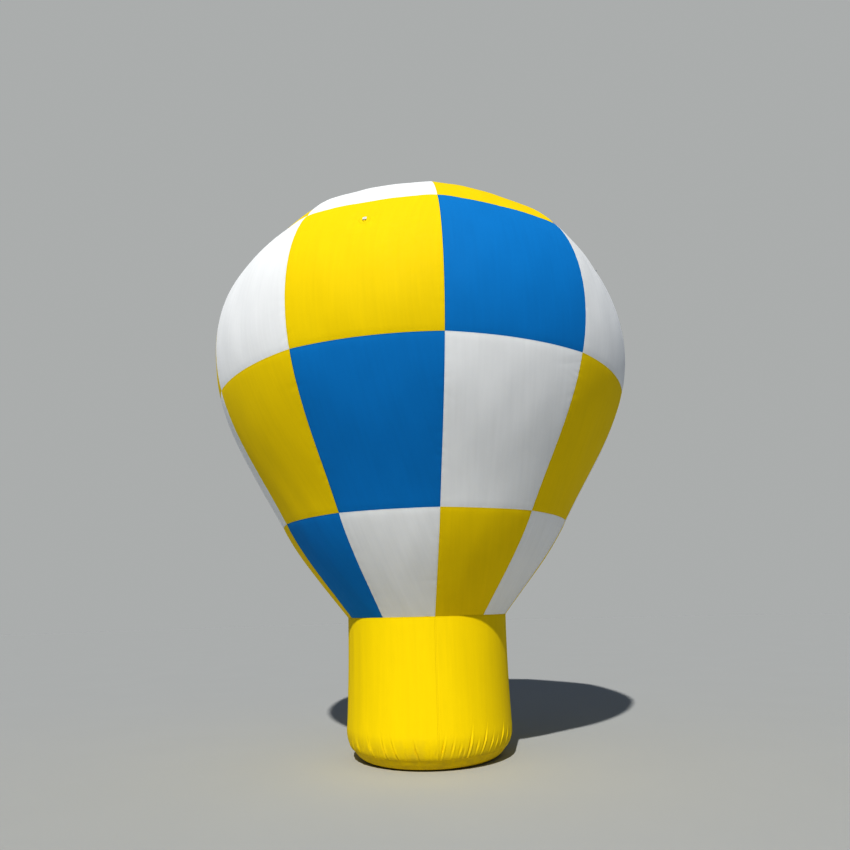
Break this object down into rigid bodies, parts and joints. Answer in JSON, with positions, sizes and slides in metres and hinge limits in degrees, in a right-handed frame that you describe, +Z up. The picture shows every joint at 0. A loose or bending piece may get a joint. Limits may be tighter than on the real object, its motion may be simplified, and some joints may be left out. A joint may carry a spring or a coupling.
{
  "type": "inflatable ground balloon",
  "caption": "Ground-standing cold-air inflatable shaped like a hot-air balloon: gored three-colour envelope on a round fabric base, with tie tabs, inflation sleeve and electric blower.",
  "frame": {"origin": "on the floor, on the balloon's vertical axis, at the centre of the base's underside", "axes": "+Z up, -Y towards the picture's camera, +X to the right of that view; the blower stands at +Y"},
  "size_m": [5.2466, 5.3028, 6.8719],
  "materials": {
    "fabric_white": "coated woven polyester, matt with a slight sheen",
    "fabric_yellow": "coated woven polyester, matt with a slight sheen",
    "fabric_blue": "coated woven polyester, matt with a slight sheen",
    "webbing": "woven polyester webbing with a zinc-plated ring or buckle",
    "blower_plastic": "moulded polypropylene, fine grain",
    "motor_enamel": "grey enamel on cast aluminium",
    "zinc_steel": "zinc-plated steel",
    "fan_plastic": "glass-filled nylon"
  },
  "bodies": {
    "root": {"gore_01_lower": "fabric_blue", "gore_02_lower": "fabric_white", "gore_03_lower": "fabric_yellow", "gore_04_lower": "fabric_white", "gore_05_lower": "fabric_yellow", "gore_06_lower": "fabric_blue", "gore_07_lower": "fabric_white", "gore_08_lower": "fabric_yellow", "gore_09_lower": "fabric_white", "gore_10_lower": "fabric_yellow", "gore_01_middle": "fabric_yellow", "gore_02_middle": "fabric_blue", "gore_03_middle": "fabric_white", "gore_04_middle": "fabric_yellow", "gore_05_middle": "fabric_white", "gore_06_middle": "fabric_yellow", "gore_07_middle": "fabric_blue", "gore_08_middle": "fabric_white", "gore_09_middle": "fabric_yellow", "gore_10_middle": "fabric_white", "gore_01_upper": "fabric_white", "gore_02_upper": "fabric_yellow", "gore_03_upper": "fabric_blue", "gore_04_upper": "fabric_white", "gore_05_upper": "fabric_yellow", "gore_06_upper": "fabric_white", "gore_07_upper": "fabric_yellow", "gore_08_upper": "fabric_blue", "gore_09_upper": "fabric_white", "gore_10_upper": "fabric_yellow", "gore_01_crown": "fabric_yellow", "gore_02_crown": "fabric_white", "gore_03_crown": "fabric_yellow", "gore_04_crown": "fabric_blue", "gore_05_crown": "fabric_white", "gore_06_crown": "fabric_yellow", "gore_07_crown": "fabric_white", "gore_08_crown": "fabric_yellow", "gore_09_crown": "fabric_blue", "gore_10_crown": "fabric_white", "crown_patch": "fabric_white", "base_floor": "fabric_yellow", "base_wall_1": "fabric_yellow", "base_wall_2": "fabric_yellow", "base_wall_3": "fabric_yellow", "base_wall_4": "fabric_yellow", "base_wall_5": "fabric_yellow", "inflation_sleeve": "fabric_yellow", "tie_tab_1": "webbing", "tie_tab_2": "webbing", "tie_tab_3": "webbing", "tie_tab_4": "webbing", "tie_tab_5": "webbing", "sleeve_strap": "webbing", "blower_housing": "blower_plastic", "blower_handle": "blower_plastic", "blower_motor": "motor_enamel", "inlet_guard": "zinc_steel", "blower_stand": "zinc_steel"},
    "impeller": {"blower_impeller": "fan_plastic"}
  },
  "joints": [
    {"name": "impeller_spin", "type": "hinge", "parent": "root", "child": "impeller", "pos_m": [0, 1.8, 0.27], "axis": [1, 0, 0], "continuous": true}
  ]
}
